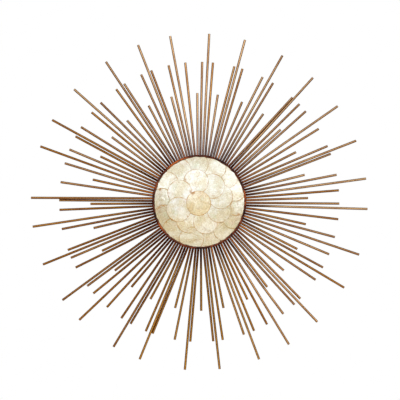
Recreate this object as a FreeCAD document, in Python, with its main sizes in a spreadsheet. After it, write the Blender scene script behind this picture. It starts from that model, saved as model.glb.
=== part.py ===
"""Sunburst wall sculpture: 112 round metal rays in three lengths, welded in two layers to a flat hub ring,
round a turned dome faced with overlapping capiz shells.

Frame: the origin is on the hub axis at the wall plane, +Z is up, +X is to the right for somebody who looks
at the front, and the front faces -Y. A "depth" is a distance out from the wall, along -Y. A "heading" is an
angle in degrees, clockwise from the top as seen from the front. Lengths are in millimetres.
"""
import FreeCAD, Part
import math
import os
import Sketcher

SIZES = [
    # the pressed back pan, whose floor lies on the wall and whose flange carries the rays
    ("pan_floor_radius", 60.0),
    ("pan_cone_radius", 70.0),
    ("pan_flange_radius", 118.0),
    ("pan_depth", 8.0),
    ("pan_sheet", 1.5),
    # the flat ring between the two layers of rays
    ("ring_inner_radius", 98.0),
    ("ring_outer_radius", 122.0),
    ("ring_thickness", 3.0),
    # the rays
    ("ray_dia", 6.35),
    ("ray_chamfer", 0.5),
    ("ray_root_radius", 104.0),
    ("ray_station_radius", 127.0),
    ("first_ray_heading", 4.4),
    ("long_reach", 457.0),
    ("medium_reach", 381.0),
    ("short_reach", 295.5),
    # the domed core and the hoop of round bar round its edge
    ("core_radius", 121.0),
    ("core_rise", 22.0),
    ("hoop_dia", 6.35),
    ("hoop_clearance", 0.5),
    # the capiz shells
    ("shell_dia", 67.0),
    ("shell_thickness", 0.9),
    ("shell_bed", 0.05),
    ("centre_shell_offset", 4.0),
    ("inner_shell_circle", 57.0),
    ("outer_shell_circle", 101.0),
    # the four screws through the pan's flange and the spacer sleeves into the core
    ("screw_circle", 76.0),
    ("screw_dia", 4.0),
    ("screw_head_dia", 8.0),
    ("screw_head_height", 2.4),
    ("screw_head_round", 1.2),
    ("screw_grip", 12.0),
    ("screw_tip", 2.5),
    ("screw_slot_width", 1.2),
    ("screw_slot_depth", 1.1),
    ("hole_clearance", 0.1),
    ("pilot_spare_depth", 1.0),
    ("sleeve_dia", 10.0),
    ("sleeve_bore", 4.6),
    # the hanger on the back of the flange: a strap rolled round the bar of a D-shaped ring
    ("eye_height", 110.0),
    ("wire_dia", 3.0),
    ("eye_clearance", 0.08),
    ("strap_sheet", 1.2),
    ("strap_width", 14.0),
    ("strap_foot_height", 96.0),
    ("rivet_height", 100.0),
    ("rivet_spread", 7.0),
    ("rivet_dia", 2.5),
    ("rivet_head_dia", 5.0),
    ("rivet_head_height", 1.2),
    ("rivet_tail_dia", 4.2),
    ("rivet_tail_height", 0.6),
    ("loop_half_width", 14.0),
    ("loop_leg", 14.0),
    ("loop_corner", 3.5),
]

# How far the tip of each ray strays from its own even station, in degrees: the rays were set by hand.
# One row is one fan of four rays, clockwise: long, medium, short, medium.
TIP_STRAYS = [
    (-1.0, -2.0, -1.0, 0.5),
    (-1.5, -2.5, -0.5, 0.0),
    (-0.5, -1.5, -0.5, 2.0),
    (-0.5, -0.5, -1.0, -3.0),
    (-0.5, -0.5, 0.5, 1.0),
    (0.0, -2.0, 0.5, 0.5),
    (0.5, 0.5, 0.0, -0.5),
    (-2.0, -0.5, 1.0, 0.5),
    (1.0, 1.5, 2.0, 1.0),
    (0.5, 0.5, 2.5, 4.0),
    (2.5, 1.0, 2.0, 0.5),
    (2.0, 2.0, 1.5, 1.5),
    (0.5, -0.5, 2.0, 2.0),
    (1.5, -0.5, 1.0, 2.5),
    (0.5, 2.5, 2.0, 5.5),
    (3.5, 2.0, 3.0, 2.5),
    (0.5, 0.5, 2.0, 1.5),
    (2.5, 3.0, 1.5, 0.5),
    (-1.5, 3.0, 1.0, 1.0),
    (-0.5, -2.0, 1.0, 0.5),
    (0.0, 2.0, 1.0, -0.5),
    (-3.0, 0.5, 1.0, 2.0),
    (2.0, 1.5, 1.0, 1.0),
    (-1.0, -1.0, 0.0, 0.0),
    (-1.0, -1.0, -1.0, 1.0),
    (0.5, -1.5, 0.0, 0.0),
    (0.0, -2.0, 0.0, -1.0),
    (-1.5, -0.5, 1.0, 0.0),
]
FAN_REACHES = ("long_reach", "medium_reach", "short_reach", "medium_reach")
FAN_SIZE = len(FAN_REACHES)
RAY_COUNT = FAN_SIZE * len(TIP_STRAYS)

# The shells of each ring in the order they were laid, counterclockwise from the bottom: the heading of the
# shell's centre, and how far it strays outwards from the ring's circle. Each shell laps over the one before it,
# and the last one laps over the first as well.
INNER_SHELLS = (
    (209, 1.0), (162, -1.5), (112, 0.5), (76, 2.0), (40, -1.5), (351, -1.5), (296, 1.0), (250, 1.5),
)
OUTER_SHELLS = (
    (166, 0.0), (136, 1.5), (113, 0.0), (92, 0.0), (70, 0.0), (46, 0.0), (23, 0.0),
    (355, 0.0), (327, 0.0), (299, 0.0), (272, 0.0), (246, 0.0), (221, 0.0), (192, 1.0),
)
# The shell over the middle sits a little below the hub axis, and a little to the left of it.
CENTRE_SHELL_HEADING = 210

# Depths of the layers, from the wall outwards. The core's straight edge is as thick as the hoop.
FLANGE_FRONT = "(Sizes.pan_depth + Sizes.pan_sheet)"
RING_BACK = f"({FLANGE_FRONT} + Sizes.ray_dia)"
RING_FRONT = f"({RING_BACK} + Sizes.ring_thickness)"
CORE_BACK = f"({RING_FRONT} + Sizes.ray_dia)"
CORE_EDGE_FRONT = f"({CORE_BACK} + Sizes.hoop_dia)"
CORE_APEX = f"({CORE_EDGE_FRONT} + Sizes.core_rise)"
DOME_RADIUS = "((Sizes.core_radius ^ 2 + Sizes.core_rise ^ 2) / (2 * Sizes.core_rise))"
# The four screws stand midway between the cross axes, clear of the hanger at the top.
SCREW_COUNT = 4
SCREW_HEADING = 45
# A tool solid that cuts a shell's outline starts this far below the dome and ends as far above it.
OUTLINE_REACH = 8.0
# Two points of a sketch closer than this are the same point.
SAME_POINT = 1e-6
X_AXIS = FreeCAD.Vector(1, 0, 0)
Y_AXIS = FreeCAD.Vector(0, 1, 0)
Z_AXIS = FreeCAD.Vector(0, 0, 1)

doc = FreeCAD.newDocument("SunburstWallSculpture")
sheet = doc.addObject("Spreadsheet::Sheet", "Sizes")
for row, (alias, size) in enumerate(SIZES, start=1):
    sheet.set(f"A{row}", alias)
    sheet.set(f"B{row}", str(size))
    sheet.setAlias(f"B{row}", alias)
doc.recompute()
subparts = []


def number(expression):
    """The present value of an expression in the sheet's sizes."""
    return float(sheet.evalExpression(expression))


def bind(item, **expressions):
    """Bind each named property of an object to an expression in the sheet's sizes."""
    for name, expression in expressions.items():
        item.setExpression(name, expression)


def keep(item, node):
    """List an object as one of the sculpture's separate sub-parts."""
    item.Label = node
    subparts.append(item)


def new_body(name):
    body = doc.addObject("PartDesign::Body", name)
    body.AllowCompound = True
    return body


def origin_feature(body, role):
    return next(item for item in body.Origin.OriginFeatures if item.Role == role)


def new_sketch(body, name, plane):
    sketch = body.newObject("Sketcher::SketchObject", name)
    sketch.AttachmentSupport = [(origin_feature(body, plane), "")]
    sketch.MapMode = "FlatFace"
    return sketch


def hold(sketch, curve, end, across, up):
    """Hold one end of a curve at two expressions, measured from the sketch's origin."""
    for kind, expression in (("DistanceX", across), ("DistanceY", up)):
        place = number(expression)
        index = sketch.addConstraint(Sketcher.Constraint(kind, -1, 1, curve, end, place))
        sketch.setExpression(f"Constraints[{index}]", expression)


def point(across, up):
    return FreeCAD.Vector(number(across), number(up), 0)


def add_outline(sketch, corners, arcs=()):
    """Close a line through the corners. arcs makes some sides into arcs: {side: (across, up, radius)} holds
    a point that the arc goes through, and its radius."""
    count = len(corners)
    arcs = dict(arcs)
    starts = []
    ends = []
    for side in range(count):
        start = point(*corners[side])
        end = point(*corners[(side + 1) % count])
        if side in arcs:
            across, up, radius = arcs[side]
            sketch.addGeometry(Part.Arc(start, point(across, up), end), False)
            index = sketch.addConstraint(Sketcher.Constraint("Radius", side, number(radius)))
            sketch.setExpression(f"Constraints[{index}]", radius)
        else:
            sketch.addGeometry(Part.LineSegment(start, end), False)
        # A sketch keeps each arc anticlockwise, so an arc drawn the other way starts at its far end.
        forward = sketch.getPoint(side, 1).isEqual(start, SAME_POINT)
        starts.append(1 if forward else 2)
        ends.append(2 if forward else 1)
    for side, (across, up) in enumerate(corners):
        hold(sketch, side, starts[side], across, up)
    for side in range(count):
        follower = (side + 1) % count
        join = Sketcher.Constraint("Coincident", side, ends[side], follower, starts[follower])
        sketch.addConstraint(join)


def add_circle(sketch, across, up, radius):
    """A circle with its centre and its radius bound to expressions."""
    circle = Part.Circle(point(across, up), Z_AXIS, number(radius))
    curve = sketch.addGeometry(circle, False)
    hold(sketch, curve, 3, across, up)
    index = sketch.addConstraint(Sketcher.Constraint("Radius", curve, number(radius)))
    sketch.setExpression(f"Constraints[{index}]", radius)


def cap_arc(half_width, rise, crown, towards_base):
    """The arc of a round cap between its crown and its edge, as add_outline takes it. towards_base is the
    sign, + or -, of the way up the sketch from the crown to the edge."""
    radius = f"((({half_width}) ^ 2 + ({rise}) ^ 2) / (2 * {rise}))"
    sag = f"({radius} - sqrt({radius} ^ 2 - ({half_width}) ^ 2 / 4))"
    return (f"{half_width} / 2", f"{crown} {towards_base} {sag}", radius)


def revolve(body, sketch, axis):
    turned = body.newObject("PartDesign::Revolution", f"{body.Name}_turned")
    turned.Profile = sketch
    turned.ReferenceAxis = axis
    turned.Angle = 360
    doc.recompute()
    return turned


def repeat_round_hub(body, feature, count):
    """Repeat a feature evenly round the hub axis, and make the repeated solid the body's result."""
    pattern = body.newObject("PartDesign::PolarPattern", f"{feature.Name}_pattern")
    pattern.Originals = [feature]
    pattern.Axis = (origin_feature(body, "Y_Axis"), [""])
    pattern.Angle = 360
    pattern.Occurrences = count
    body.Tip = pattern
    doc.recompute()
    return pattern


def cut_through(body, sketch, name):
    """Cut a sketch's outline right through a body both ways, and make sure that something was cut."""
    before = body.Shape.Volume
    pocket = body.newObject("PartDesign::Pocket", name)
    pocket.Profile = sketch
    pocket.Type = "ThroughAll"
    pocket.Midplane = True
    doc.recompute()
    if pocket.Shape.Volume >= before:
        raise RuntimeError(f"{name} cuts nothing")
    return pocket


def at_screw(trig):
    """One coordinate of the screw that stands at SCREW_HEADING."""
    return f"Sizes.screw_circle * {trig}({SCREW_HEADING} deg)"


def turned_about_hub(name, corners, arcs=()):
    """A body turned about the hub axis from an outline of radius and height out of the wall."""
    body = new_body(name)
    profile = new_sketch(body, f"{name}_profile", "XY_Plane")
    add_outline(profile, corners, arcs)
    revolve(body, profile, (profile, ["V_Axis"]))
    return body


def make_back_pan():
    """The pressed pan: flat floor, cone and flange, with holes for the core's screws and the rivets."""
    floor, cone, flange = "Sizes.pan_floor_radius", "Sizes.pan_cone_radius", "Sizes.pan_flange_radius"
    # The cone is as thick as the floor, so the front side's bends are set in from the back side's.
    inset = f"Sizes.pan_sheet * tan(atan(Sizes.pan_depth / ({cone} - {floor})) / 2)"
    corners = [
        ("0", "0"),
        (floor, "0"),
        (cone, "-Sizes.pan_depth"),
        (flange, "-Sizes.pan_depth"),
        (flange, f"-{FLANGE_FRONT}"),
        (f"{cone} - {inset}", f"-{FLANGE_FRONT}"),
        (f"{floor} - {inset}", "-Sizes.pan_sheet"),
        ("0", "-Sizes.pan_sheet"),
    ]
    body = turned_about_hub("back_pan", corners)
    screw_sketch = new_sketch(body, "pan_screw_hole", "XZ_Plane")
    hole_radius = "Sizes.screw_dia / 2 + Sizes.hole_clearance"
    add_circle(screw_sketch, at_screw("sin"), at_screw("cos"), hole_radius)
    hole = cut_through(body, screw_sketch, "pan_screw_holes")
    repeat_round_hub(body, hole, SCREW_COUNT)
    rivet_sketch = new_sketch(body, "pan_rivet_hole", "XZ_Plane")
    for side in ("", "-"):
        place = f"{side}Sizes.rivet_spread / 2"
        add_circle(rivet_sketch, place, "Sizes.rivet_height", "Sizes.rivet_dia / 2")
    cut_through(body, rivet_sketch, "pan_rivet_holes")
    keep(body, "back_pan")


def make_hub_ring():
    """The flat ring that both layers of rays are welded to."""
    corners = [
        ("Sizes.ring_inner_radius", f"-{RING_BACK}"),
        ("Sizes.ring_outer_radius", f"-{RING_BACK}"),
        ("Sizes.ring_outer_radius", f"-{RING_FRONT}"),
        ("Sizes.ring_inner_radius", f"-{RING_FRONT}"),
    ]
    keep(turned_about_hub("hub_ring", corners), "hub_ring")


def make_ray(index, reach, stray, axis_depth):
    """One round bar, from an even station near the hub to a tip that strays from the station's heading."""
    station_heading = number("Sizes.first_ray_heading") + index * 360 / RAY_COUNT
    station_radius = number("Sizes.ray_station_radius")
    tip_radius = number(f"Sizes.{reach}")
    tip_across = tip_radius * math.sin(math.radians(stray))
    tip_out = tip_radius * math.cos(math.radians(stray)) - station_radius
    heading = station_heading + math.degrees(math.atan2(tip_across, tip_out))
    along = FreeCAD.Rotation(Y_AXIS, heading).multVec(Z_AXIS)
    station = FreeCAD.Rotation(Y_AXIS, station_heading).multVec(Z_AXIS * station_radius)
    root = station - along * (station_radius - number("Sizes.ray_root_radius"))
    root.y = -axis_depth
    bar = doc.addObject("Part::Cylinder", f"ray_{index + 1:03}_bar")
    bind(bar, Radius="Sizes.ray_dia / 2", Height=f"Sizes.{reach} - Sizes.ray_root_radius")
    bar.Placement = FreeCAD.Placement(root, FreeCAD.Rotation(Y_AXIS, heading))
    doc.recompute([bar])
    ray = doc.addObject("Part::Chamfer", f"ray_{index + 1:03}")
    ray.Base = bar
    chamfer = number("Sizes.ray_chamfer")
    end_circles = [at for at, edge in enumerate(bar.Shape.Edges, start=1) if edge.Closed]
    ray.Edges = [(edge, chamfer, chamfer) for edge in end_circles]
    return ray


def make_ray_fans():
    """The rays, in fans of four neighbours: every other ray lies behind the hub ring, the rest in front."""
    rear_axis = number(f"{FLANGE_FRONT} + Sizes.ray_dia / 2")
    front_axis = number(f"{RING_FRONT} + Sizes.ray_dia / 2")
    for fan, strays in enumerate(TIP_STRAYS):
        rays = []
        for place, (reach, stray) in enumerate(zip(FAN_REACHES, strays)):
            axis_depth = rear_axis if place % 2 else front_axis
            rays.append(make_ray(fan * FAN_SIZE + place, reach, stray, axis_depth))
        group = doc.addObject("Part::Compound", f"fan_{fan + 1:02}")
        group.Links = rays
        keep(group, f"ray_fan_{fan + 1:02}")


def make_dome_core():
    """The turned core: a flat back, a short straight edge and a spherical front, with four pilot holes."""
    corners = [
        ("0", f"-{CORE_BACK}"),
        ("Sizes.core_radius", f"-{CORE_BACK}"),
        ("Sizes.core_radius", f"-{CORE_EDGE_FRONT}"),
        ("0", f"-{CORE_APEX}"),
    ]
    dome = cap_arc("Sizes.core_radius", "Sizes.core_rise", f"-{CORE_APEX}", "+")
    body = turned_about_hub("dome_core", corners, {2: dome})
    pilot_sketch = new_sketch(body, "pilot_hole", "XZ_Plane")
    add_circle(pilot_sketch, at_screw("sin"), at_screw("cos"), "Sizes.screw_dia / 2 + Sizes.hole_clearance")
    before = body.Shape.Volume
    pilot = body.newObject("PartDesign::Pocket", "pilot_holes")
    pilot.Profile = pilot_sketch
    pilot.Reversed = True
    bind(pilot, Length=f"{CORE_BACK} + Sizes.screw_grip + Sizes.pilot_spare_depth")
    doc.recompute()
    if pilot.Shape.Volume >= before:
        raise RuntimeError("the pilot holes cut nothing")
    repeat_round_hub(body, pilot, SCREW_COUNT)
    keep(body, "dome_core")


def make_rim_hoop():
    """The hoop of round bar round the core's edge, welded to the front rays."""
    hoop = doc.addObject("Part::Torus", "hoop")
    bind(
        hoop,
        Radius1="Sizes.core_radius + Sizes.hoop_clearance + Sizes.hoop_dia / 2",
        Radius2="Sizes.hoop_dia / 2",
    )
    centre = FreeCAD.Vector(0, -number(f"{CORE_BACK} + Sizes.hoop_dia / 2"), 0)
    hoop.Placement = FreeCAD.Placement(centre, FreeCAD.Rotation(X_AXIS, 90))
    keep(hoop, "rim_hoop")


def layer_radius(level):
    """The radius under a layer of shells: level 0 lies on the core, and each level on the one below."""
    return f"({DOME_RADIUS} + Sizes.shell_bed + {level} * (Sizes.shell_thickness + Sizes.shell_bed))"


def make_shell_layer(name, level):
    """A thin cap concentric with the dome and as wide as the core, which shells are cut from."""
    dome_centre = FreeCAD.Vector(0, number(f"{DOME_RADIUS} - {CORE_APEX}"), 0)
    over = doc.addObject("Part::Sphere", f"{name}_over")
    bind(over, Radius=f"{layer_radius(level)} + Sizes.shell_thickness")
    under = doc.addObject("Part::Sphere", f"{name}_under")
    bind(under, Radius=layer_radius(level))
    for ball in (over, under):
        ball.Placement = FreeCAD.Placement(dome_centre, FreeCAD.Rotation())
    hollow = doc.addObject("Part::Cut", f"{name}_hollow")
    hollow.Base = over
    hollow.Tool = under
    edge = doc.addObject("Part::Cylinder", f"{name}_edge")
    bind(edge, Radius="Sizes.core_radius", Height="Sizes.hoop_dia + 2 * Sizes.core_rise")
    back = FreeCAD.Vector(0, -number(CORE_BACK), 0)
    edge.Placement = FreeCAD.Placement(back, FreeCAD.Rotation(X_AXIS, 90))
    layer = doc.addObject("Part::Common", name)
    layer.Base = hollow
    layer.Tool = edge
    return layer


def make_outline(name, heading, circle_radius, clearance):
    """The round outline of one shell, square to the dome, as a tool solid."""
    dome_radius = number(DOME_RADIUS)
    tilt = math.degrees(math.asin(circle_radius / dome_radius))
    turn = FreeCAD.Rotation(Y_AXIS, heading).multiply(FreeCAD.Rotation(X_AXIS, 90 - tilt))
    dome_centre = FreeCAD.Vector(0, dome_radius - number(CORE_APEX), 0)
    start = dome_centre + turn.multVec(Z_AXIS * (dome_radius - OUTLINE_REACH))
    outline = doc.addObject("Part::Cylinder", name)
    bind(outline, Radius=f"Sizes.shell_dia / 2 + {clearance}")
    outline.Height = 2 * OUTLINE_REACH
    outline.Placement = FreeCAD.Placement(start, turn)
    return outline


def make_shell_ring(name, layer, seats, circle):
    """A ring of shells in one layer. Each is trimmed where the shells that were laid over it cover it."""
    circle_radius = number(circle)
    last = len(seats) - 1
    for index, (heading, stray) in enumerate(seats):
        stem = f"{name}_{index + 1:02}"
        shell = doc.addObject("Part::Common", f"{stem}_disc")
        shell.Base = layer
        shell.Tool = make_outline(f"{stem}_outline", heading, circle_radius + stray, "0")
        covers = [index + 1] if index < last else []
        if index == 0:
            covers.append(last)
        for cover in covers:
            cover_heading, cover_stray = seats[cover]
            cover_name = f"{stem}_under_{cover + 1:02}"
            trimmed = doc.addObject("Part::Cut", cover_name)
            trimmed.Base = shell
            trimmed.Tool = make_outline(f"{cover_name}_outline", cover_heading, circle_radius + cover_stray,
                                        "Sizes.shell_bed")
            shell = trimmed
        keep(shell, stem)


def make_shells():
    """Three layers of capiz: an outer ring, an inner ring over it, and one shell over the middle."""
    outer_layer = make_shell_layer("outer_layer", 0)
    make_shell_ring("shell_outer", outer_layer, OUTER_SHELLS, "Sizes.outer_shell_circle")
    inner_layer = make_shell_layer("inner_layer", 1)
    make_shell_ring("shell_inner", inner_layer, INNER_SHELLS, "Sizes.inner_shell_circle")
    centre = doc.addObject("Part::Common", "centre_disc")
    centre.Base = make_shell_layer("centre_layer", 2)
    centre.Tool = make_outline("centre_outline", CENTRE_SHELL_HEADING, number("Sizes.centre_shell_offset"), "0")
    keep(centre, "shell_centre")


def turned_about_lines(name, offset, count, corners, arcs=()):
    """Equal solids, each turned about a line parallel to the hub axis at an offset from it. The first line is
    to the right of the hub axis, and the outline of radius and height is measured from it."""
    body = new_body(name)
    profile = new_sketch(body, f"{name}_profile", "XY_Plane")
    moved_corners = [(f"{offset} + {across}", up) for across, up in corners]
    moved_arcs = {}
    for side, (across, up, radius) in dict(arcs).items():
        moved_arcs[side] = (f"{offset} + {across}", up, radius)
    add_outline(profile, moved_corners, moved_arcs)
    line_ends = ((1, "0"), (2, f"-{CORE_APEX}"))
    start, end = (point(offset, up) for _, up in line_ends)
    line = profile.addGeometry(Part.LineSegment(start, end), True)
    for line_end, up in line_ends:
        hold(profile, line, line_end, offset, up)
    turned = revolve(body, profile, (profile, ["Axis0"]))
    repeat_round_hub(body, turned, count)
    return body


def turned_about_screws(name, corners, arcs=()):
    """Equal solids, each turned about the line of one of the core's screws."""
    body = turned_about_lines(name, "Sizes.screw_circle", SCREW_COUNT, corners, arcs)
    body.Placement = FreeCAD.Placement(FreeCAD.Vector(), FreeCAD.Rotation(Y_AXIS, SCREW_HEADING))
    return body


def make_core_screws():
    """Four slotted pan-head screws, from the back of the flange into the core."""
    head_top = "-(Sizes.pan_depth - Sizes.screw_head_height)"
    head_radius, edge_round = "Sizes.screw_head_dia / 2", "Sizes.screw_head_round"
    tip = f"-({CORE_BACK} + Sizes.screw_grip)"
    corners = [
        ("0", head_top),
        (f"{head_radius} - {edge_round}", head_top),
        (head_radius, f"{head_top} - {edge_round}"),
        (head_radius, "-Sizes.pan_depth"),
        ("Sizes.screw_dia / 2", "-Sizes.pan_depth"),
        ("Sizes.screw_dia / 2", f"{tip} + Sizes.screw_tip"),
        ("0", tip),
    ]
    corner_turn = f"{edge_round} * (1 - sqrt(2) / 2)"
    rounded_edge = (f"{head_radius} - {corner_turn}", f"{head_top} - {corner_turn}", edge_round)
    body = turned_about_screws("core_screws", corners, {1: rounded_edge})
    slot_sketch = new_sketch(body, "screw_slot", "XY_Plane")
    left, right = "-Sizes.screw_slot_width / 2", "Sizes.screw_slot_width / 2"
    floor = f"{head_top} - Sizes.screw_slot_depth"
    corners = [
        (f"Sizes.screw_circle + {left}", "0"),
        (f"Sizes.screw_circle + {right}", "0"),
        (f"Sizes.screw_circle + {right}", floor),
        (f"Sizes.screw_circle + {left}", floor),
    ]
    add_outline(slot_sketch, corners)
    slot = cut_through(body, slot_sketch, "screw_slots")
    repeat_round_hub(body, slot, SCREW_COUNT)
    keep(body, "core_screws")


def make_spacer_sleeves():
    """Four tubes that keep the flange and the core apart where the screws pull them together."""
    corners = [
        ("Sizes.sleeve_bore / 2", f"-{FLANGE_FRONT}"),
        ("Sizes.sleeve_dia / 2", f"-{FLANGE_FRONT}"),
        ("Sizes.sleeve_dia / 2", f"-{CORE_BACK}"),
        ("Sizes.sleeve_bore / 2", f"-{CORE_BACK}"),
    ]
    keep(turned_about_screws("spacer_sleeves", corners), "spacer_sleeves")


EYE_RADIUS = "(Sizes.wire_dia / 2 + Sizes.eye_clearance)"
EYE_DEPTH = f"(Sizes.pan_depth - Sizes.strap_sheet - {EYE_RADIUS})"


def pad_strap(body, sketch, name):
    pad = body.newObject("PartDesign::Pad", name)
    pad.Profile = sketch
    pad.Midplane = True
    bind(pad, Length="Sizes.strap_width")
    doc.recompute()


def make_hanger_strap():
    """The strap: a flat foot riveted to the back of the flange, rolled into an eye round the ring's bar."""
    body = new_body("hanger_strap")
    foot_sketch = new_sketch(body, "strap_foot", "YZ_Plane")
    foot_back = "-(Sizes.pan_depth - Sizes.strap_sheet)"
    corners = [
        ("-Sizes.pan_depth", "Sizes.strap_foot_height"),
        (foot_back, "Sizes.strap_foot_height"),
        (foot_back, "Sizes.eye_height"),
        ("-Sizes.pan_depth", "Sizes.eye_height"),
    ]
    add_outline(foot_sketch, corners)
    pad_strap(body, foot_sketch, "strap_foot_pad")
    eye_sketch = new_sketch(body, "strap_eye", "YZ_Plane")
    add_circle(eye_sketch, f"-{EYE_DEPTH}", "Sizes.eye_height", f"{EYE_RADIUS} + Sizes.strap_sheet")
    pad_strap(body, eye_sketch, "strap_eye_pad")
    bore_sketch = new_sketch(body, "strap_bore", "YZ_Plane")
    add_circle(bore_sketch, f"-{EYE_DEPTH}", "Sizes.eye_height", EYE_RADIUS)
    cut_through(body, bore_sketch, "strap_bore_cut")
    rivet_sketch = new_sketch(body, "strap_rivet_hole", "XZ_Plane")
    for side in ("", "-"):
        place = f"{side}Sizes.rivet_spread / 2"
        add_circle(rivet_sketch, place, "Sizes.rivet_height", "Sizes.rivet_dia / 2")
    cut_through(body, rivet_sketch, "strap_rivet_holes")
    keep(body, "hanger_strap")


def make_hanger_rivets():
    """Two rivets through the strap and the flange: domed heads on the strap, flat tails on the flange."""
    head_base = "-(Sizes.pan_depth - Sizes.strap_sheet)"
    crown = f"{head_base} + Sizes.rivet_head_height"
    head_radius, shank_radius, tail_radius = (
        f"Sizes.{dia} / 2" for dia in ("rivet_head_dia", "rivet_dia", "rivet_tail_dia")
    )
    corners = [
        ("0", crown),
        (head_radius, head_base),
        (shank_radius, head_base),
        (shank_radius, f"-{FLANGE_FRONT}"),
        (tail_radius, f"-{FLANGE_FRONT}"),
        (tail_radius, f"-({FLANGE_FRONT} + Sizes.rivet_tail_height)"),
        ("0", f"-({FLANGE_FRONT} + Sizes.rivet_tail_height)"),
    ]
    dome = cap_arc(head_radius, "Sizes.rivet_head_height", crown, "-")
    body = turned_about_lines("hanger_rivets", "Sizes.rivet_spread / 2", 2, corners, {0: dome})
    body.Placement = FreeCAD.Placement(Z_AXIS * number("Sizes.rivet_height"), FreeCAD.Rotation())
    keep(body, "hanger_rivets")


def make_hanger_ring():
    """The D-shaped ring of round wire, hanging down from its straight bar in the strap's eye."""
    body = new_body("hanger_ring")
    path = new_sketch(body, "loop_path", "XZ_Plane")
    half, corner, leg = "Sizes.loop_half_width", "Sizes.loop_corner", "Sizes.loop_leg"
    tight_turn = f"{corner} * (1 - sqrt(2) / 2)"
    wide_turn = f"{half} * sqrt(2) / 2"
    corners = [
        ("0", "0"),
        (f"{half} - {corner}", "0"),
        (half, f"-{corner}"),
        (half, f"-{leg}"),
        ("0", f"-({leg} + {half})"),
        (f"-{half}", f"-{leg}"),
        (f"-{half}", f"-{corner}"),
        (f"-({half} - {corner})", "0"),
    ]
    arcs = {
        1: (f"{half} - {tight_turn}", f"-({tight_turn})", corner),
        3: (wide_turn, f"-({leg} + {wide_turn})", half),
        4: (f"-({wide_turn})", f"-({leg} + {wide_turn})", half),
        6: (f"-({half} - {tight_turn})", f"-({tight_turn})", corner),
    }
    add_outline(path, corners, arcs)
    section = new_sketch(body, "wire_section", "YZ_Plane")
    add_circle(section, "0", "0", "Sizes.wire_dia / 2")
    doc.recompute()
    pipe = body.newObject("PartDesign::AdditivePipe", "loop_wire")
    pipe.Profile = section
    pipe.Spine = (path, [f"Edge{side + 1}" for side in range(len(corners))])
    doc.recompute()
    eye = FreeCAD.Vector(0, -number(EYE_DEPTH), number("Sizes.eye_height"))
    body.Placement = FreeCAD.Placement(eye, FreeCAD.Rotation())
    keep(body, "hanger_ring")


def check_and_write():
    """Stop on any failed object, then write each sub-part's solid to a file of its own."""
    doc.recompute()
    for item in doc.Objects:
        if "Invalid" in item.State or "Error" in item.State:
            raise RuntimeError(f"{item.Label} failed: {item.State}")
    os.makedirs("parts", exist_ok=True)
    for item in subparts:
        if item.Shape.isNull() or not item.Shape.isValid():
            raise RuntimeError(f"{item.Label} has no valid shape")
        item.Shape.exportStep(f"parts/{item.Label}.step")


make_back_pan()
make_hub_ring()
make_ray_fans()
make_dome_core()
make_rim_hoop()
make_shells()
make_core_screws()
make_spacer_sleeves()
make_hanger_strap()
make_hanger_rivets()
make_hanger_ring()
check_and_write()
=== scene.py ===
import math
import random

import bmesh
import bpy
from mathutils import Matrix, Vector, noise


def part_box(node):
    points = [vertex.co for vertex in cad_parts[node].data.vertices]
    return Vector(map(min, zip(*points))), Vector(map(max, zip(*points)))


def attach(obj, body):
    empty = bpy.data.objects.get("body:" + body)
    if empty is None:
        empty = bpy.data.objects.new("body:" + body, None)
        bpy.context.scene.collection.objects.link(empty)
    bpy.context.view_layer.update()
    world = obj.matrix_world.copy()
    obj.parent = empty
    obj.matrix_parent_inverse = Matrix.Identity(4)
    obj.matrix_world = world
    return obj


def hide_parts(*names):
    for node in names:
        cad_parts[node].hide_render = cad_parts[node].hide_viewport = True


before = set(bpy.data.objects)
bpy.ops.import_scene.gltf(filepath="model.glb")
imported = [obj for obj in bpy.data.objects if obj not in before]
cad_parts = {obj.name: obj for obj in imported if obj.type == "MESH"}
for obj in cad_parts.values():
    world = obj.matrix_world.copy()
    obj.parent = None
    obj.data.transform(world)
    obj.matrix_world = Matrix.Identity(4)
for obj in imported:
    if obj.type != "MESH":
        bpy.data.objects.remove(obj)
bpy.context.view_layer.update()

# The sunburst hangs with its hub axis along Y, its front faces -Y, and lengths are in metres. A heading is an
# angle in degrees, clockwise from the top as seen from the front.
MM = 0.001
ROOT = "sunburst"
Y_AXIS = Vector((0, 1, 0))
Z_AXIS = Vector((0, 0, 1))

# Sizes that the frame gives.
CORE_LOW, CORE_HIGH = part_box("dome_core")
HOOP_LOW, HOOP_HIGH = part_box("rim_hoop")
RING_LOW, RING_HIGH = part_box("hub_ring")
CORE_RADIUS = CORE_HIGH.x
HOOP_RADIUS = HOOP_HIGH.x
HOOP_BAR = HOOP_HIGH.y - HOOP_LOW.y
RING_RADIUS = RING_HIGH.x
# The straight edge of the core is as thick as the hoop's bar, and the rest of its depth is the dome.
DOME_RISE = CORE_HIGH.y - CORE_LOW.y - HOOP_BAR
DOME_RADIUS = (CORE_RADIUS ** 2 + DOME_RISE ** 2) / (2 * DOME_RISE)
DOME_CENTRE = Vector((0, CORE_LOW.y + DOME_RADIUS, 0))

# The rays' even stations round the hub, and the shells' places on the dome, as in the CAD model.
RAY_COUNT = 112
FIRST_RAY_HEADING = 4.4
# The shells in the order they were laid: each one's heading, and how far it strays outwards in millimetres.
INNER_SHELLS = (
    (209, 1.0), (162, -1.5), (112, 0.5), (76, 2.0), (40, -1.5), (351, -1.5), (296, 1.0), (250, 1.5),
)
OUTER_SHELLS = (
    (166, 0.0), (136, 1.5), (113, 0.0), (92, 0.0), (70, 0.0), (46, 0.0), (23, 0.0),
    (355, 0.0), (327, 0.0), (299, 0.0), (272, 0.0), (246, 0.0), (221, 0.0), (192, 1.0),
)
SHELL_RADIUS = 33.5 * MM
INNER_CIRCLE = 57 * MM
OUTER_CIRCLE = 101 * MM
SHELL_OVERHANG = 1.2 * MM
CENTRE_OFFSET = 4.0 * MM
CENTRE_HEADING = 210
# Where the hinge of a shell lies, as a share of the way from its middle to its rim.
HINGE_SHARE = 0.92
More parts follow.
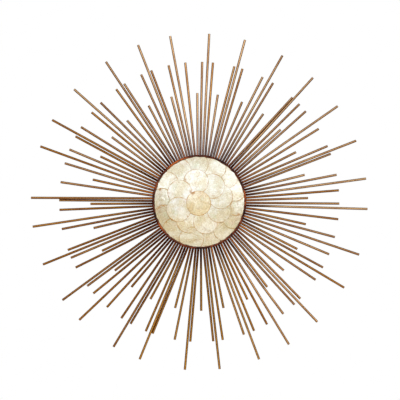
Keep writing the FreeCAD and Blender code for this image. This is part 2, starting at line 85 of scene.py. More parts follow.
# How far a shell's outline strays from a circle, by the number of lobes round it.
OUTLINE_LOBES = {2: 0.010, 3: 0.008, 5: 0.005, 9: 0.003}


def across(heading):
    """The direction out from the hub axis at a heading."""
    return Matrix.Rotation(math.radians(heading), 3, "Y") @ Z_AXIS


def link(obj):
    bpy.context.scene.collection.objects.link(obj)
    return obj


# ---------------------------------------------------------------- materials

class Shader:
    """A material's node tree, built by short calls."""

    def __init__(self, name):
        self.material = bpy.data.materials.new(name)
        self.material.use_nodes = True
        self.tree = self.material.node_tree
        self.surface = self.tree.nodes["Principled BSDF"]

    def node(self, kind, settings=None, **inputs):
        """A node. settings are its own properties; inputs are sockets by name, as values or other outputs."""
        made = self.tree.nodes.new(kind)
        for key, value in (settings or {}).items():
            setattr(made, key, value)
        for key, value in inputs.items():
            self.feed(made.inputs[key.replace("_", " ")], value)
        return made

    def feed(self, socket, value):
        if isinstance(value, bpy.types.Node):
            value = value.outputs[0]
        if isinstance(value, bpy.types.NodeSocket):
            self.tree.links.new(value, socket)
        else:
            socket.default_value = value

    def set(self, **inputs):
        """Set or link the surface shader's own sockets."""
        for key, value in inputs.items():
            self.feed(self.surface.inputs[key.replace("_", " ")], value)

    def place(self):
        """The point in the frame, in metres: every object of the sculpture has its origin at the frame's."""
        return self.node("ShaderNodeTexCoord").outputs["Object"]

    def math(self, operation, first, second=0.0):
        made = self.node("ShaderNodeMath", {"operation": operation})
        self.feed(made.inputs[0], first)
        self.feed(made.inputs[1], second)
        return made.outputs[0]

    def vector_math(self, operation, first, second=(0, 0, 0), output="Vector"):
        made = self.node("ShaderNodeVectorMath", {"operation": operation})
        self.feed(made.inputs[0], first)
        self.feed(made.inputs[1], second)
        return made.outputs[output]

    def part(self, vector, axis):
        """One component of a vector."""
        return self.node("ShaderNodeSeparateXYZ", Vector=vector).outputs[axis]

    def scaled(self, vector, factor):
        made = self.node("ShaderNodeVectorMath", {"operation": "SCALE"}, Scale=factor)
        self.feed(made.inputs[0], vector)
        return made.outputs["Vector"]

    def noise(self, vector, scale, detail=3.0, roughness=0.55, distortion=0.0):
        made = self.node("ShaderNodeTexNoise", Vector=vector, Scale=scale, Detail=detail,
                         Roughness=roughness, Distortion=distortion)
        return made.outputs["Fac"]

    def cells(self, vector, scale, feature="F1", output="Color"):
        made = self.node("ShaderNodeTexVoronoi", {"feature": feature}, Vector=vector, Scale=scale)
        return made.outputs[output]

    def spread(self, value, low, high, to_low=0.0, to_high=1.0):
        """Map a range of a value smoothly to another range."""
        made = self.node("ShaderNodeMapRange", {"interpolation_type": "SMOOTHSTEP"}, Value=value,
                         From_Min=low, From_Max=high, To_Min=to_low, To_Max=to_high)
        return made.outputs["Result"]

    def mix(self, factor, first, second, blend="MIX"):
        made = self.node("ShaderNodeMix", {"data_type": "RGBA", "blend_type": blend})
        self.feed(made.inputs[0], factor)
        self.feed(made.inputs[6], first)
        self.feed(made.inputs[7], second)
        return made.outputs[2]

    def bump(self, height, strength, distance, normal=None):
        made = self.node("ShaderNodeBump", Height=height, Strength=strength, Distance=distance)
        if normal is not None:
            self.feed(made.inputs["Normal"], normal)
        return made.outputs["Normal"]


def colour(red, green, blue):
    """A linear colour from the usual 0 to 255 values."""
    def linear(value):
        value /= 255
        return value / 12.92 if value <= 0.04045 else ((value + 0.055) / 1.055) ** 2.4
    return (linear(red), linear(green), linear(blue), 1.0)


def hub_distance(shader, place):
    flat = shader.vector_math("MULTIPLY", place, (1, 0, 1))
    return shader.vector_math("LENGTH", flat, output="Value")


def make_ray_gold():
    """Antique gold laid over the fronts of the rays by rubbing, rosier on some than on others.

    The red-brown ground shows at their backs, and at their sides, where it is also painted shade. Near the hub
    it is dark patina and painted shade, with more painted shade at the lower left. The rays are lighter
    towards the top right with painted light, those at the very top paler near the hub with painted light, and
    those at the bottom the brightest gold with a painted highlight. The wear runs along each ray.
    """
    shader = Shader("ray_gold")
    place = shader.place()
    distance = hub_distance(shader, place)
    each = shader.node("ShaderNodeNewGeometry").outputs["Random Per Island"]
    other = shader.math("FRACT", shader.math("MULTIPLY", each, 37.0))
    outward = shader.vector_math("NORMALIZE", shader.vector_math("MULTIPLY", place, (1, 0, 1)))
    along = shader.vector_math("ADD", shader.scaled(outward, 6.0), place)
    shift = shader.node("ShaderNodeCombineXYZ", Y=shader.math("MULTIPLY", each, 9.0))
    along = shader.vector_math("ADD", along, shift)
    wear = shader.noise(along, 11.0, 5.0, 0.6)
    # Painted light: the rays are lighter and rosier towards the top right.
    tilted = shader.vector_math("DOT_PRODUCT", place, (0.35, 0, 0.9), output="Value")
    painted_top_light = shader.spread(tilted, -0.22, 0.32)
    rosy_and_top_light = shader.math("ADD", shader.math("MULTIPLY", each, 0.8), shader.math("MULTIPLY", painted_top_light, 0.6))
    gold = shader.mix(shader.spread(rosy_and_top_light, 0.2, 1.1), colour(146, 98, 32), colour(160, 128, 92))
    gold = shader.mix(shader.math("MULTIPLY", other, 0.45), gold, colour(110, 70, 34))
    gold = shader.mix(shader.spread(wear, 0.40, 0.68, 0.0, 0.55), gold, colour(102, 58, 30))
    # Painted light: the ground is lighter towards the top.
    ground = shader.mix(painted_top_light, colour(98, 28, 10), colour(126, 58, 32))
    ground = shader.mix(shader.spread(wear, 0.35, 0.65), ground, colour(54, 14, 6))
    ground = shader.mix(shader.spread(other, 0.15, 0.6, 0.8, 0.0), ground, colour(30, 8, 4))
    ground = shader.mix(shader.spread(other, 0.6, 1.0, 0.0, 0.7), ground, colour(188, 104, 34))
    # Near the hub the rays show their dark ground: partly dark patina, partly painted shade where the crowded
    # rays and the raised dome shade their roots.
    hub_patina_and_shade = shader.math("ADD", distance, shader.math("MULTIPLY", other, 0.05))
    tone = shader.mix(shader.spread(hub_patina_and_shade, 0.125, 0.24), ground, gold)
    # Painted shade: near the hub, the rays towards the lower left are darker.
    lower_left = shader.vector_math("DOT_PRODUCT", outward, (-0.766, 0, -0.643), output="Value")
    lower_left_painted_shade = shader.math("MULTIPLY", shader.spread(lower_left, 0.6, 1.0),
                           shader.spread(distance, 0.12, 0.34, 0.8, 0.18))
    tone = shader.mix(lower_left_painted_shade, tone, colour(56, 20, 8))
    # Painted light: the rays at the very top are paler near the hub.
    topmost_painted_light = shader.math("MULTIPLY", shader.spread(shader.part(outward, "Z"), 0.75, 1.0),
                          shader.spread(distance, 0.13, 0.28, 0.22, 0.0))
    tone = shader.mix(topmost_painted_light, tone, colour(176, 156, 146))
    # Painted highlight: the rays at the bottom are a brighter gold near the hub.
    lowest_painted_highlight = shader.math("MULTIPLY", shader.spread(shader.part(outward, "Z"), -1.0, -0.85, 1.0, 0.0),
                         shader.spread(distance, 0.15, 0.20, 0.0, 0.35))
    tone = shader.mix(lowest_painted_highlight, tone, colour(200, 152, 70))
    # Painted shade on the rays' flanks, which turn away from the front, together with the red-brown ground on
    # their backs.
    normal = shader.node("ShaderNodeNewGeometry").outputs["Normal"]
    flank_shade_and_ground = shader.spread(shader.part(normal, "Y"), -0.85, -0.35, 0.0, 0.8)
    tone = shader.mix(flank_shade_and_ground, tone, shader.mix(wear, colour(130, 58, 16), colour(72, 28, 9)))
    rough = shader.spread(wear, 0.3, 0.7, 0.22, 0.34)
    leaf = shader.noise(along, 26.0, 1.0)
    sheen = shader.mix(0.7, tone, colour(190, 98, 36))
    shader.set(Base_Color=tone, Metallic=0.96, Roughness=rough, Specular_Tint=sheen,
               Normal=shader.bump(leaf, 0.08, 0.0004))
    return shader.material


def make_hoop_copper():
    """Dark reddish copper, worn bright by rubbing in some stretches of the hoop."""
    shader = Shader("hoop_copper")
    place = shader.place()
    stretches = shader.noise(place, 24.0, 3.0, 0.5)
    blotches = shader.noise(place, 120.0, 4.0)
    tone = shader.mix(shader.spread(blotches, 0.35, 0.7), colour(108, 48, 24), colour(60, 22, 12))
    tone = shader.mix(shader.spread(stretches, 0.38, 0.55, 0.85, 0.0), tone, colour(26, 9, 6))
    tone = shader.mix(shader.spread(stretches, 0.52, 0.66, 0.0, 0.8), tone, colour(176, 88, 36))
    rough = shader.spread(blotches, 0.3, 0.7, 0.24, 0.42)
    hammer = shader.noise(place, 180.0, 2.0)
    shader.set(Base_Color=tone, Metallic=0.8, Roughness=rough, Normal=shader.bump(hammer, 0.3, 0.0005))
    return shader.material


def make_bronze_paint(name, light, dark):
    """Brushed-on dark bronze paint, thin and worn in places."""
    shader = Shader(name)
    place = shader.place()
    stretched = shader.vector_math("MULTIPLY", place, (1.0, 1.0, 1.8))
    strokes = shader.noise(stretched, 160.0, 4.0, 0.6, 1.2)
    clouds = shader.noise(place, 18.0, 4.0)
    tone = shader.mix(shader.spread(clouds, 0.3, 0.7), light, dark)
    tone = shader.mix(shader.spread(strokes, 0.45, 0.75, 0.0, 0.5), tone, colour(126, 90, 62))
    rough = shader.spread(strokes, 0.3, 0.7, 0.36, 0.58)
    shader.set(Base_Color=tone, Metallic=0.45, Roughness=rough, Normal=shader.bump(strokes, 0.15, 0.0003))
    return shader.material


def make_board():
    """Turned fibreboard, sealed with a thin brown size."""
    shader = Shader("core_board")
    place = shader.place()
    fibres = shader.noise(shader.vector_math("MULTIPLY", place, (1.0, 5.0, 1.0)), 420.0, 5.0, 0.7)
    clouds = shader.noise(place, 22.0, 3.0)
    tone = shader.mix(shader.spread(fibres, 0.35, 0.68), colour(132, 92, 58), colour(96, 62, 38))
    tone = shader.mix(shader.spread(clouds, 0.4, 0.7, 0.0, 0.5), tone, colour(84, 52, 34))
    shader.set(Base_Color=tone, Roughness=0.72, Normal=shader.bump(fibres, 0.35, 0.0003))
    return shader.material


def make_zinc(name, tint, grain):
    """Zinc plate with faint spangle and fine scratches."""
    shader = Shader(name)
    place = shader.place()
    spangle = shader.noise(place, grain, 3.0, 0.6, 0.6)
    scratches = shader.noise(shader.vector_math("MULTIPLY", place, (9.0, 1.0, 1.0)), 900.0, 2.0)
    tone = shader.mix(shader.spread(spangle, 0.35, 0.7), tint, colour(150, 146, 136))
    tone = shader.mix(shader.spread(scratches, 0.6, 0.75, 0.0, 0.5), tone, colour(96, 90, 80))
    rough = shader.spread(spangle, 0.3, 0.7, 0.26, 0.42)
    shader.set(Base_Color=tone, Metallic=0.95, Roughness=rough, Normal=shader.bump(scratches, 0.15, 0.0002))
    return shader.material


def make_weld():
    """Weld metal under the same dark ground as the roots of the rays."""
    shader = Shader("weld_metal")
    place = shader.place()
    ripples = shader.noise(place, 900.0, 2.0)
    tone = shader.mix(shader.spread(ripples, 0.35, 0.7), colour(112, 50, 26), colour(48, 18, 10))
    shader.set(Base_Color=tone, Metallic=0.5, Roughness=0.5, Normal=shader.bump(ripples, 0.4, 0.0004))
    return shader.material


def make_glue():
    """Brown glue squeezed out under the shells."""
    shader = Shader("brown_glue")
    place = shader.place()
    clouds = shader.noise(place, 90.0, 3.0)
    tone = shader.mix(shader.spread(clouds, 0.38, 0.62), colour(150, 92, 42), colour(52, 26, 14))
    shader.set(Base_Color=tone, Roughness=0.3, Coat_Weight=0.4)
    return shader.material


def make_capiz(name, pearl, shade, stain, stain_amount):
    """Capiz: pearly scales laid round the hinge of the shell, with stain between them and amber on the rim.

    The UV map is the flat shell, 1 unit to its width, with the hinge near the bottom edge of the map.
    """
    shader = Shader(name)
    place = shader.place()
    each = shader.node("ShaderNodeObjectInfo").outputs["Random"]
    flat = shader.node("ShaderNodeTexCoord").outputs["UV"]
    centred = shader.vector_math("MULTIPLY", shader.vector_math("SUBTRACT", flat, (0.5, 0.5, 0)), (2, 2, 0))
    out = shader.vector_math("LENGTH", centred, output="Value")
    bend = shader.noise(place, 75.0, 4.0, 0.6)
    from_hinge = shader.vector_math("ADD", centred, (0, HINGE_SHARE, 0))
    reach = shader.vector_math("LENGTH", from_hinge, output="Value")
    angle = shader.math("ARCTAN2", shader.part(from_hinge, "X"), shader.part(from_hinge, "Y"))
    laid = shader.node(
        "ShaderNodeCombineXYZ",
        X=shader.math("ADD", shader.math("MULTIPLY", angle, 2.2), shader.math("MULTIPLY", bend, 0.9)),
        Y=shader.math("ADD", shader.math("MULTIPLY", reach, 3.4), shader.math("MULTIPLY", bend, 1.3)),
        Z=shader.math("MULTIPLY", each, 40.0),
    ).outputs[0]
    scale_tint = shader.cells(laid, 2.3)
    scale_edge = shader.cells(laid, 2.3, "DISTANCE_TO_EDGE", "Distance")
    crumb_tint = shader.cells(laid, 7.5)
    crumb_edge = shader.cells(laid, 7.5, "DISTANCE_TO_EDGE", "Distance")
    growth = shader.math("SINE", shader.math("MULTIPLY", shader.math("ADD", reach, bend), 30.0))

    patches = shader.noise(place, 30.0, 4.0, 0.55, 0.6)
    tone = shader.mix(shader.spread(patches, 0.38, 0.64), pearl, shade)
    tone = shader.mix(shader.spread(each, 0.4, 1.0, 0.0, 0.4), tone, colour(206, 200, 166))
    pinks = shader.noise(shader.vector_math("ADD", place, (0.3, 0.1, 0.7)), 42.0, 3.0)
    tone = shader.mix(shader.spread(pinks, 0.54, 0.7, 0.0, 0.4), tone, colour(240, 212, 190))
    greens = shader.noise(shader.vector_math("ADD", place, (0.9, 0.4, 0.2)), 46.0, 3.0)
    tone = shader.mix(shader.spread(greens, 0.54, 0.7, 0.0, 0.5), tone, colour(204, 212, 172))
    scale_shade = shader.spread(shader.part(scale_tint, "X"), 0.1, 0.9, 0.0, 0.3)
    tone = shader.mix(scale_shade, tone, colour(204, 184, 138))
    crumb_shade = shader.spread(shader.part(crumb_tint, "X"), 0.2, 0.9, 0.0, 0.25)
    tone = shader.mix(crumb_shade, tone, colour(190, 166, 120))
    stains = shader.noise(shader.vector_math("ADD", place, (0.5, 0.8, 0.1)), 40.0, 5.0, 0.62, 0.8)
    low = shader.math("SUBTRACT", 0.66 - 0.13 * stain_amount, shader.math("MULTIPLY", each, 0.08))
    tone = shader.mix(shader.spread(stains, low, 0.8, 0.0, stain_amount), tone, stain)
    veins = shader.spread(scale_edge, 0.0, 0.12, 0.45, 0.0)
    veins = shader.math("MULTIPLY", veins, shader.spread(patches, 0.35, 0.6))
    tone = shader.mix(veins, tone, stain)
    tone = shader.mix(shader.spread(crumb_edge, 0.0, 0.14, 0.08, 0.0), tone, stain)
    tone = shader.mix(shader.spread(growth, 0.4, 1.0, 0.0, 0.14), tone, stain)
    # Painted light: shells towards the top are whiter and bluer, a painted reflection of the front softbox,
    # and those below are darker.
    painted_top_light = shader.spread(shader.part(place, "Z"), -0.07, 0.03)
    painted_light_tint = shader.mix(painted_top_light, (0.84, 0.845, 0.83, 1), (0.87, 0.93, 1.05, 1))
    tone = shader.mix(1.0, tone, painted_light_tint, "MULTIPLY")
    ragged = shader.math("ADD", out, shader.math("MULTIPLY", bend, 0.07))
    edge = shader.spread(ragged, 0.96, 1.03, 0.0, 0.9)
    edge = shader.math("MULTIPLY", edge, shader.spread(greens, 0.35, 0.55, 0.4, 1.0))
    tone = shader.mix(edge, tone, colour(176, 124, 48))
    soaked = shader.noise(shader.vector_math("ADD", place, (0.2, 0.6, 0.4)), 60.0, 2.0)
    chips = shader.spread(ragged, 0.72, 0.98)
    chips = shader.math("MULTIPLY", chips, shader.spread(soaked, 0.60, 0.68))
    tone = shader.mix(shader.math("MULTIPLY", chips, 0.7), tone, colour(160, 104, 34))
    dull = shader.math("MAXIMUM", edge, chips)

    scale_tilt = shader.scaled(shader.vector_math("SUBTRACT", scale_tint, (0.5, 0.5, 0.5)), 0.10)
    crumb_tilt = shader.scaled(shader.vector_math("SUBTRACT", crumb_tint, (0.5, 0.5, 0.5)), 0.07)
    tilt = shader.vector_math("ADD", scale_tilt, crumb_tilt)
    facing = shader.vector_math("ADD", shader.node("ShaderNodeNewGeometry").outputs["Normal"], tilt)
    facing = shader.vector_math("NORMALIZE", facing)
    relief = shader.math("ADD", bend, shader.math("MULTIPLY", growth, 0.05))
    rough = shader.spread(patches, 0.3, 0.7, 0.16, 0.34)
    shader.set(Base_Color=tone, Roughness=rough, Specular_IOR_Level=shader.spread(dull, 0.0, 0.8, 0.9, 0.1),
               Coat_Weight=shader.spread(dull, 0.0, 0.8, 0.6, 0.0), Coat_Roughness=0.12, Coat_Normal=facing,
               Normal=shader.bump(relief, 0.35, 0.0012, facing))
    return shader.material


def dress(node, material):
    """Give a CAD node a better material in each of its own slots."""
    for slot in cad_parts[node].material_slots:
        slot.material = material


# ---------------------------------------------------------------- capiz shells

def dome_point(direction, height):
    """The point a height above the dome, in a direction from the dome's centre."""
    return DOME_CENTRE + direction.normalized() * (DOME_RADIUS + height)


class Seat:
    """Where a shell sits on the dome: its middle, its two flat directions, and how it leans on the others.

    A shell's clockwise side lies over the shell that was laid before it, and its other side under the next.
    """

    def __init__(self, heading, circle, height, lean_round=0.0, lean_out=0.0, flatness=0.0):
        outward = across(heading)
        rise = math.sqrt(DOME_RADIUS ** 2 - circle ** 2)
        self.up = (outward * circle - Y_AXIS * rise).normalized()
        self.clockwise = Y_AXIS.cross(outward).normalized()
        self.out = self.clockwise.cross(self.up).normalized()
        if self.out.dot(outward) < 0:
            self.out.negate()
        self.height = height
        self.lean_round = lean_round
        self.lean_out = lean_out
        self.flatness = flatness

    def point(self, u, v, lift):
        """A point u clockwise round the hub and v out from it. A shell is flatter than the dome."""
        direction = self.up * DOME_RADIUS + self.clockwise * u + self.out * v
        height = self.height + self.lean_round * u + self.lean_out * v
        height += self.flatness * (u * u + v * v) / (2 * DOME_RADIUS)
        return dome_point(direction, height + lift)


def outline_radius(angle, phases):
    """The radius of a shell's outline, as a share of its size: shells trimmed by hand are nearly round."""
    return 1 + sum(size * math.sin(lobes * angle + phases[lobes]) for lobes, size in OUTLINE_LOBES.items())


def clip_to_edge(seat, angle, radius):
    """Shorten a shell's outline where it would pass the inner side of the hoop, which it follows unevenly."""

    def overshoots(length):
        spot = seat.point(length * math.sin(angle), length * math.cos(angle), 0.0)
        nibble = 1.2 * MM * (1 + 1.5 * noise.noise(Vector((spot.x, 0, spot.z)) * 110))
        return math.hypot(spot.x, spot.z) > CORE_RADIUS + SHELL_OVERHANG - nibble

    if not overshoots(radius):
        return radius
    low, high = 0.0, radius
    for _ in range(20):
        middle = (low + high) / 2
        low, high = (low, middle) if overshoots(middle) else (middle, high)
    return low


def make_shell(node, seat, material, slot, seed):
    """One capiz shell: a thin wavy disc with rounded edges, which replaces its plain CAD solid."""
    spokes, rings, thickness = 72, 22, 0.55 * MM
    chance = random.Random(seed)
    phases = {lobes: chance.uniform(0, math.tau) for lobes in OUTLINE_LOBES}
    turn = chance.uniform(0, math.tau)
    place = Vector((chance.uniform(0, 50), chance.uniform(0, 50), chance.uniform(0, 50)))
    angles = [math.tau * spoke / spokes for spoke in range(spokes)]
    reaches = [clip_to_edge(seat, angle, SHELL_RADIUS * outline_radius(angle, phases)) for angle in angles]
    mesh = bmesh.new()
    uv_layer = mesh.loops.layers.uv.new("shell")
    flat = {}

    def wave(u, v):
        """The shell's own waviness, and the steps between its growth rings."""
        spot = Vector((u, v, 0))
        swell = noise.noise(spot * 45 + place) * 0.10 * MM
        ripple = noise.noise(spot * 160 + place) * 0.045 * MM
        hinge = Vector((math.sin(turn), math.cos(turn), 0)) * SHELL_RADIUS * HINGE_SHARE
        steps = math.sin((spot + hinge).length / (5.2 * MM) + noise.noise(spot * 60 + place))
        return swell + ripple + steps * 0.035 * MM

    def vertex(angle, length, lift):
        u, v = length * math.sin(angle), length * math.cos(angle)
        made = mesh.verts.new(seat.point(u, v, lift + wave(u, v)))
        turned = Matrix.Rotation(turn, 2) @ Vector((u, v))
        flat[made] = turned / (2 * SHELL_RADIUS) + Vector((0.5, 0.5))
        return made

    def ring(share, lift):
        return [vertex(angle, reach * share, lift) for angle, reach in zip(angles, reaches)]

    def bridge(inner, outer):
        for spoke in range(spokes):
            after = (spoke + 1) % spokes
            mesh.faces.new((inner[spoke], outer[spoke], outer[after], inner[after]))

    def cap(middle, first):
        for spoke in range(spokes):
            mesh.faces.new((middle, first[spoke], first[(spoke + 1) % spokes]))

    top = [ring(1 - (1 - step / rings) ** 1.25, thickness) for step in range(1, rings)]
    loops = top + [ring(0.992, thickness * 0.96), ring(1.0, thickness * 0.62), ring(1.0, thickness * 0.2)]
    loops += [ring(share, 0.0) for share in (0.985, 0.8, 0.6, 0.4, 0.2)]
    cap(vertex(0, 0, thickness), loops[0])
    for inner, outer in zip(loops, loops[1:]):
        bridge(inner, outer)
    bottom = vertex(0, 0, 0.0)
    for spoke in range(spokes):
        mesh.faces.new((bottom, loops[-1][(spoke + 1) % spokes], loops[-1][spoke]))
    for face in mesh.faces:
        face.smooth = True
        for corner in face.loops:
            corner[uv_layer].uv = flat[corner.vert]
    bmesh.ops.recalc_face_normals(mesh, faces=mesh.faces)
    return finish_piece(mesh, f"{node}_capiz", material, slot, node)


def finish_piece(mesh, name, material, slot, *stands_for):
    """Turn a bmesh into an object of the sculpture."""
    data = bpy.data.meshes.new(name)
    mesh.to_mesh(data)
    mesh.free()
    data.materials.append(material)
    piece = link(bpy.data.objects.new(name, data))
    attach(piece, ROOT)
    if stands_for:
        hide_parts(*stands_for)
    return piece


def make_shell_ring(name, shells, circle, height, lean_round, lean_out, flatness, material, seed):
    """A ring of shells. The first one laid lies flat under both its neighbours, and the last one over both."""
    last = len(shells) - 1
    end_step = 0.45 * MM
    for index, (heading, stray) in enumerate(shells):
        seat = Seat(heading, circle + stray * MM, height, lean_round, lean_out, flatness)
        if index in (0, last):
            seat.lean_round = 0.0
            seat.height += -end_step if index == 0 else end_step
        make_shell(f"{name}_{index + 1:02}", seat, material, name, seed + index)


def make_shells():
    """The outer ring, the inner ring leaning on it, and the shell over the middle."""
    outer = make_capiz("capiz_outer", colour(246, 237, 212), colour(228, 210, 164), colour(152, 98, 22), 0.6)
    make_shell_ring("shell_outer", OUTER_SHELLS, OUTER_CIRCLE, 0.70 * MM, 0.018, 0.0, 0.30, outer, 100)
    inner = make_capiz("capiz_inner", colour(250, 244, 228), colour(234, 220, 180), colour(156, 104, 28), 0.5)
    make_shell_ring("shell_inner", INNER_SHELLS, INNER_CIRCLE, 1.40 * MM, 0.016, 0.022, 0.35, inner, 200)
    stained = colour(140, 80, 20)
    centre = make_capiz("capiz_centre", colour(244, 224, 178), colour(224, 192, 132), stained, 0.9)
    make_shell("shell_centre", Seat(CENTRE_HEADING, CENTRE_OFFSET, 2.15 * MM), centre, "shell_centre", 300)


# ---------------------------------------------------------------- welds and glue

def add_blob(mesh, centre, along, size, chance):
    """A lumpy bead of weld metal, stretched along a direction."""
    made = bmesh.ops.create_icosphere(mesh, subdivisions=2, radius=1.0)
    turn = along.to_track_quat("Z", "Y").to_matrix()
    shift = Vector((chance.uniform(0, 40), chance.uniform(0, 40), chance.uniform(0, 40)))
    for vertex in made["verts"]:
        lump = 1 + 0.22 * noise.noise(vertex.co * 1.7 + shift)
        vertex.co = centre + turn @ Vector((vertex.co[axis] * size[axis] * lump for axis in range(3)))


def make_welds(material):
    """Short fillets on both sides of each ray where it meets the hub ring, and under the hoop."""
    chance = random.Random(7)
    hub = bmesh.new()
    hoop = bmesh.new()
    for index in range(RAY_COUNT):
        outward = across(FIRST_RAY_HEADING + index * 360 / RAY_COUNT)
        sideways = Y_AXIS.cross(outward)
        in_front = index % 2 == 0
        face = RING_LOW.y - 0.7 * MM if in_front else RING_HIGH.y + 0.7 * MM
        for side in (-1, 1):
            size = Vector((1.0, 0.9, chance.uniform(2.0, 2.9))) * MM
            spot = outward * (RING_RADIUS - 2.6 * MM) + sideways * side * 2.1 * MM + Y_AXIS * face
            add_blob(hub, spot, outward, size, chance)
            if in_front:
                size = Vector((0.9, 0.9, chance.uniform(1.0, 1.5))) * MM
                spot = outward * (HOOP_RADIUS - 1.2 * MM) + sideways * side * 2.2 * MM
                add_blob(hoop, spot + Y_AXIS * (HOOP_HIGH.y - 0.3 * MM), outward, size, chance)
    for mesh, name, slot in ((hub, "welds_hub", "hub_steel"), (hoop, "welds_hoop", "hoop_copper")):
        for face in mesh.faces:
            face.smooth = True
        finish_piece(mesh, name, material, slot)


def make_edge_glue(material):
    """The bead of glue that closes the seam between the outer shells and the hoop."""
    mesh = bmesh.new()
    steps, sides = 360, 8
    loops = []
    for step in range(steps):
        heading = 360 * step / steps
        outward = across(heading)
        swell = 1 + 0.35 * noise.noise(outward * 9)
        centre = outward * (CORE_RADIUS + 0.9 * MM) + Y_AXIS * (HOOP_LOW.y + 1.0 * MM)
        loop = []
        for side in range(sides):
            angle = math.tau * side / sides
            offset = outward * math.cos(angle) * 0.75 * MM + Y_AXIS * math.sin(angle) * 0.7 * MM
            loop.append(mesh.verts.new(centre + offset * swell))
        loops.append(loop)
    for step in range(steps):
        near, far = loops[step], loops[(step + 1) % steps]
        for side in range(sides):
            after = (side + 1) % sides
            face = mesh.faces.new((near[side], near[after], far[after], far[side]))
            face.smooth = True
    bmesh.ops.recalc_face_normals(mesh, faces=mesh.faces)
    finish_piece(mesh, "edge_glue", material, "shell_outer")


# ---------------------------------------------------------------- camera, light and floor

FRAME_WIDTH = 1.083
CAMERA_DISTANCE = 4.0
CAMERA_ACROSS = 2.0 * MM
CAMERA_HEIGHT = 5.2 * MM
FLOOR_HEIGHT = -0.80


def make_camera():
    """Straight in front of the hub."""
    data = bpy.data.cameras.new("camera")
    data.lens = data.sensor_width * CAMERA_DISTANCE / FRAME_WIDTH
    camera = link(bpy.data.objects.new("camera", data))
    camera.location = (CAMERA_ACROSS, HOOP_LOW.y - CAMERA_DISTANCE, CAMERA_HEIGHT)
    camera.rotation_euler = (math.pi / 2, 0, 0)
    bpy.context.scene.camera = camera


def make_softbox(name, place, target, width, height, power, tint):
    data = bpy.data.lights.new(name, "AREA")
    data.shape = "RECTANGLE"
    data.size = width
    data.size_y = height
    data.energy = power
    data.color = tint
    light = link(bpy.data.objects.new(name, data))
    light.location = place
    light.rotation_mode = "QUATERNION"
    light.rotation_quaternion = (Vector(target) - Vector(place)).to_track_quat("-Z", "Y")


def make_world():
    """White to the camera. What lights the object is a bright wall behind it, and more sky than ground."""
    world = bpy.data.worlds.new("studio")
    bpy.context.scene.world = world
    world.use_nodes = True
    tree = world.node_tree
    tree.nodes.clear()
    direction = tree.nodes.new("ShaderNodeTexCoord").outputs["Generated"]
    height = tree.nodes.new("ShaderNodeSeparateXYZ")
    tree.links.new(direction, height.inputs[0])
    ramp = tree.nodes.new("ShaderNodeValToRGB")
    share = tree.nodes.new("ShaderNodeMapRange")
    share.inputs["From Min"].default_value = -1
    tree.links.new(height.outputs["Z"], share.inputs["Value"])
    tree.links.new(share.outputs["Result"], ramp.inputs[0])
    ramp.color_ramp.elements[0].position = 0.30
    ramp.color_ramp.elements[0].color = (0.30, 0.24, 0.17, 1)
    ramp.color_ramp.elements[1].position = 0.62
    ramp.color_ramp.elements[1].color = (0.80, 0.80, 0.78, 1)
    behind = tree.nodes.new("ShaderNodeMapRange")
    behind.inputs["From Max"].default_value = 0.5
    tree.links.new(height.outputs["Y"], behind.inputs["Value"])
    wall = tree.nodes.new("ShaderNodeMix")
    wall.data_type = "RGBA"
    tree.links.new(behind.outputs["Result"], wall.inputs[0])
    tree.links.new(ramp.outputs["Color"], wall.inputs[6])
    wall.inputs[7].default_value = (2.9, 2.7, 2.5, 1)
    lighting = tree.nodes.new("ShaderNodeBackground")
    tree.links.new(wall.outputs[2], lighting.inputs["Color"])
    lighting.inputs["Strength"].default_value = 0.28
    backdrop = tree.nodes.new("ShaderNodeBackground")
    backdrop.inputs["Color"].default_value = (1, 1, 1, 1)
    backdrop.inputs["Strength"].default_value = 1.0
    choose = tree.nodes.new("ShaderNodeMixShader")
    tree.links.new(tree.nodes.new("ShaderNodeLightPath").outputs["Is Camera Ray"], choose.inputs[0])
    tree.links.new(lighting.outputs[0], choose.inputs[1])
    tree.links.new(backdrop.outputs[0], choose.inputs[2])
    output = tree.nodes.new("ShaderNodeOutputWorld")
    tree.links.new(choose.outputs[0], output.inputs["Surface"])


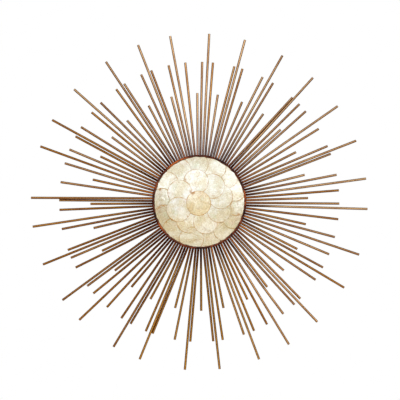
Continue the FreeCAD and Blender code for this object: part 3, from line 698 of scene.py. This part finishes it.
def make_floor():
    """A plain pale floor, well below the hanging piece."""
    mesh = bmesh.new()
    bmesh.ops.create_grid(mesh, x_segments=4, y_segments=4, size=1.4)
    data = bpy.data.meshes.new("floor")
    mesh.to_mesh(data)
    mesh.free()
    shader = Shader("floor_pale")
    grain = shader.noise(shader.place(), 6.0, 3.0)
    shader.set(Base_Color=shader.mix(grain, (0.86, 0.85, 0.83, 1), (0.90, 0.89, 0.87, 1)), Roughness=0.7)
    data.materials.append(shader.material)
    floor = link(bpy.data.objects.new("floor", data))
    floor.location = (0, -0.3, FLOOR_HEIGHT)


def make_lights():
    """A wide box in front and above, a higher one, one at each side, and a low, warm fill."""
    hub = (0, HOOP_LOW.y, 0)
    make_softbox("front_box", (0.10, -3.0, 1.0), hub, 5.6, 1.9, 101, (0.93, 0.97, 1.0))
    make_softbox("right_box", (2.0, -1.9, 0.7), hub, 1.2, 1.0, 12, (0.94, 0.97, 1.0))
    make_softbox("left_box", (-2.0, -1.9, 0.5), hub, 1.2, 1.0, 6, (0.92, 0.96, 1.0))
    make_softbox("top_box", (-0.2, -2.0, 2.2), hub, 3.2, 1.2, 14, (0.96, 0.99, 1.0))
    make_softbox("warm_fill", (0.2, -2.8, -0.8), hub, 3.0, 0.5, 10, (1.0, 0.84, 0.60))


def dress_cad_parts():
    """Better materials for the CAD parts that stay in view."""
    gold = make_ray_gold()
    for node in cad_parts:
        if node.startswith("ray_fan"):
            dress(node, gold)
    dress("rim_hoop", make_hoop_copper())
    dress("hub_ring", make_bronze_paint("hub_paint", colour(100, 62, 44), colour(62, 40, 34)))
    dress("back_pan", make_bronze_paint("pan_paint", colour(88, 64, 48), colour(58, 44, 38)))
    dress("dome_core", make_board())
    dress("core_screws", make_zinc("zinc_screws", colour(198, 194, 178), 260.0))
    dress("spacer_sleeves", make_zinc("steel_sleeves", colour(176, 176, 172), 120.0))
    dress("hanger_strap", make_zinc("zinc_strap", colour(204, 198, 176), 180.0))
    dress("hanger_rivets", make_zinc("zinc_rivets", colour(186, 184, 176), 400.0))
    dress("hanger_ring", make_zinc("zinc_ring", colour(206, 202, 186), 320.0))


make_camera()
make_world()
make_lights()
make_floor()
dress_cad_parts()
make_shells()
make_welds(make_weld())
make_edge_glue(make_glue())

bpy.context.scene.view_settings.view_transform = "Standard"
